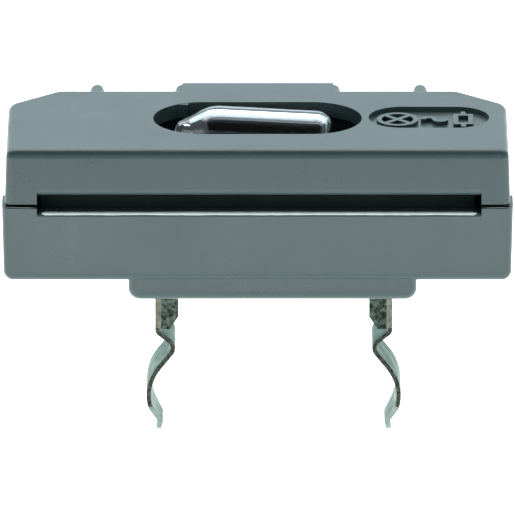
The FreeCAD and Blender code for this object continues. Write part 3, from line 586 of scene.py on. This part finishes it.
def make_bead(name, points, thickness, seed, body, material=flash_plastic):
    """A thin uneven bead of flash along a line of points."""
    rng = random.Random(seed)
    line = []
    for start, stop in zip(points, points[1:]):
        pieces = max(2, math.ceil((stop - start).length / (0.25 * MM)))
        line += [start.lerp(stop, step / pieces) for step in range(pieces)]
    line.append(points[-1])
    drift = 0.0
    rings = []
    for index, spot in enumerate(line):
        drift = 0.7 * drift + 0.3 * rng.uniform(-1, 1)
        ends = min(1.0, index / 2, (len(line) - 1 - index) / 2)
        size = thickness * (0.92 + 0.12 * drift) * max(0.12, ends)
        along = (line[min(index + 1, len(line) - 1)] - line[max(index - 1, 0)]).normalized()
        side = along.cross(Vector((0, 0, 1))).normalized()
        rings.append([spot + side * math.cos(2 * math.pi * step / 8) * size
                      + Vector((0, 0, math.sin(2 * math.pi * step / 8) * size * 0.8)) for step in range(8)])
    piece = mesh_from(name, *skin_rings(rings))
    return finish_piece(piece, material, body)


PIN_RADIUS = 0.9 * MM


def make_pin_mark(name, centre, radius, body, up=1):
    """A shallow ring left by a knock-out pin."""
    inner, lift, steps = radius * 0.82, 0.06 * MM, 40
    rows = [(radius, -0.02 * MM), (radius, lift * 0.5), (radius * 0.95, lift), (inner * 1.03, lift),
            (inner, lift * 0.3), (inner * 0.5, lift * 0.22)]
    turns = [2 * math.pi * step / steps for step in range(steps)]
    rings = [[centre + Vector((size * math.cos(turn), size * math.sin(turn), up * height)) for turn in turns]
             for size, height in rows]
    return finish_piece(mesh_from(name, *skin_rings(rings)), case_plastic, body)


def make_flash():
    """Flash left along the slot's lower lip, and in the parting line at both ends of the front."""
    front = base_low.y
    lip = BASE_TOP - SLOT_BELOW
    ends = [Vector((x * MM, front + 0.185 * MM, lip - 0.07 * MM)) for x in (-13.2, 13.4)]
    make_bead("slot_lower_flash", ends, 0.175 * MM, 11, "case")
    runs = {"left": ((-15.1, -5.9), (-13.25, -5.96)), "right": ((13.45, -5.96), (15.1, -5.9))}
    for number, (end, run) in enumerate(runs.items()):
        make_bead(f"{end}_parting_flash", [Vector((x * MM, y * MM, BASE_TOP)) for x, y in run],
                  0.05 * MM, 21 + number, "case")


def make_pin_marks():
    """Knock-out pin marks on the floor of the lower shell."""
    for number, (x, y) in enumerate([(-12, -1.9), (12, -1.9), (-11.5, 2.5), (11.5, 2.5)], start=1):
        make_pin_mark(f"base_pin_mark_{number}", Vector((x * MM, y * MM, FLOOR_INSIDE)),
                      PIN_RADIUS, "case")


# ---------------------------------------------------------------- stage, light and camera

TABLE_HALF = 3.0
GLOW_FROM_TO = (0.045, 0.085)
GLOW_NEAR_FAR = (1.3, 0.95)


def make_floor():
    """A pale light table: brightest under the insert, evening out around it, and clear from below."""
    made, tree, shader = new_finish("pale_light_table", Base_Color=(0.8, 0.8, 0.8, 1), Roughness=0.9,
                                    Emission_Color=(0.97, 1, 1, 1))
    parts = add(tree, "ShaderNodeSeparateXYZ", {0: object_place(tree)}).outputs
    narrowed = maths(tree, "MULTIPLY", parts["X"], 0.6)
    flat = add(tree, "ShaderNodeCombineXYZ", {"X": narrowed, "Y": parts["Y"]})
    away = add(tree, "ShaderNodeVectorMath", {0: flat.outputs[0]}, operation="LENGTH").outputs["Value"]
    tree.links.new(spread(tree, away, *GLOW_FROM_TO, *GLOW_NEAR_FAR), shader["Emission Strength"])
    behind = tree.nodes.new("ShaderNodeNewGeometry").outputs["Backfacing"]
    clear = tree.nodes.new("ShaderNodeBsdfTransparent").outputs[0]
    lit = next(item for item in tree.nodes if item.type == "BSDF_PRINCIPLED").outputs[0]
    mixed = add(tree, "ShaderNodeMixShader", {0: behind, 1: lit, 2: clear}).outputs[0]
    end = next(item for item in tree.nodes if item.type == "OUTPUT_MATERIAL")
    tree.links.new(mixed, end.inputs["Surface"])
    level = cad_box[0].z - 0.15 * MM
    corners = [(TABLE_HALF * x, TABLE_HALF * y, level) for x, y in ((-1, -1), (1, -1), (1, 1), (-1, 1))]
    floor = mesh_from("table_top", corners, [(0, 1, 2, 3)])
    floor.data.materials.append(made)


def softbox(name, place, aim, width, height, radiance, colour=(1, 1, 1)):
    light = bpy.data.lights.new(name, "AREA")
    light.shape = "RECTANGLE"
    light.size, light.size_y = width, height
    light.energy = radiance * math.pi * width * height
    light.color = colour
    holder = bpy.data.objects.new(name, light)
    holder.location = place
    holder.rotation_euler = (Vector(aim) - Vector(place)).to_track_quat("-Z", "Y").to_euler()
    bpy.context.scene.collection.objects.link(holder)
    return holder


def make_light():
    world = bpy.data.worlds.new("studio")
    bpy.context.scene.world = world
    world.use_nodes = True
    background = world.node_tree.nodes["Background"].inputs
    background["Color"].default_value = (0.84, 0.97, 1.0, 1)
    background["Strength"].default_value = 0.42
    softbox("overhead_box", place=(0, 0.25, 0.40), aim=(0, 0, 0),
            width=0.7, height=0.34, radiance=3.0, colour=(0.92, 0.98, 1))
    softbox("back_box", place=(0, 0.42, 0.19), aim=(0, 0, 0),
            width=0.8, height=0.34, radiance=1.15, colour=(0.74, 0.93, 1))
    softbox("front_box", place=(0, -1.0, 0.55), aim=(0, 0, 0),
            width=0.9, height=0.5, radiance=1.0)
    softbox("front_strip", place=(0, -0.056, cad_box[0].z + 0.6 * MM), aim=(0, -0.05, 1),
            width=0.26, height=0.042, radiance=1.9)
    softbox("left_box", place=(-0.5, -0.12, 0.16), aim=(0, 0, 0),
            width=0.3, height=0.35, radiance=0.7)
    softbox("right_box", place=(0.5, -0.12, 0.16), aim=(0, 0, 0),
            width=0.3, height=0.35, radiance=0.7)


def make_dark_card():
    """Two black cards, one lying before the insert and one hung over it, met only by reflections."""
    made, tree, shader = new_finish("black_cards", Base_Color=(0.01, 0.01, 0.01, 1), Roughness=0.9)
    patches = noise(tree, object_place(tree), 30, 2)
    tree.links.new(spread(tree, patches, 0.3, 0.7, 0.85, 0.95), shader["Roughness"])
    lying = cad_box[0].z + 0.3 * MM
    rows = [(-0.079, lying), (-0.3, lying), (-0.32, 0.2), (-0.2, 0.33), (-0.01, 0.37)]
    points = [(x, y, z) for y, z in rows for x in (-0.22, 0.22)]
    faces = [(2 * row, 2 * row + 1, 2 * row + 3, 2 * row + 2) for row in (0, 2, 3)]
    card = mesh_from("black_cards", points, faces)
    card.data.materials.append(made)
    card.visible_camera = False


VIEW_LENS = 992.3
VIEW_ELEVATION = math.radians(19.2)
VIEW_DISTANCE = 0.85
VIEW_AIM = Vector((0, -6.0 * MM, 1.579 * MM))


def make_camera():
    lens = bpy.data.cameras.new("view_camera")
    lens.sensor_width = 36
    lens.lens = VIEW_LENS
    lens.clip_start, lens.clip_end = 0.01, 20
    camera = bpy.data.objects.new("view_camera", lens)
    outward = Vector((0, -math.cos(VIEW_ELEVATION), math.sin(VIEW_ELEVATION)))
    camera.location = VIEW_AIM + VIEW_DISTANCE * outward
    camera.rotation_euler = (math.pi / 2 - VIEW_ELEVATION, 0, 0)
    bpy.context.scene.collection.objects.link(camera)
    bpy.context.scene.camera = camera


FINISH_OF = {"case_plastic": case_plastic, "lamp_glass": lamp_glass, "nickel": nickel,
             "tinned_wire": tin_wire, "tinned_strip": tin_strip, "ceramic": ceramic,
             "resistor_lacquer": lacquer,
             "sleeve_plastic": sleeve_plastic, "solder": solder}


def dress_nodes():
    for part in frame["record"]["subparts"]:
        node = frame["nodes"][part["node"]]
        node.data.materials.clear()
        node.data.materials.append(FINISH_OF[part["material_slot"]])


bpy.context.scene.view_settings.view_transform = "Standard"
make_camera()
dress_nodes()
for side, sign in SIDES.items():
    make_contact_strip(side, sign)
    make_solder_fillet(side)
make_resistor_body()
make_flash()
make_pin_marks()
make_floor()
make_light()
make_dark_card()
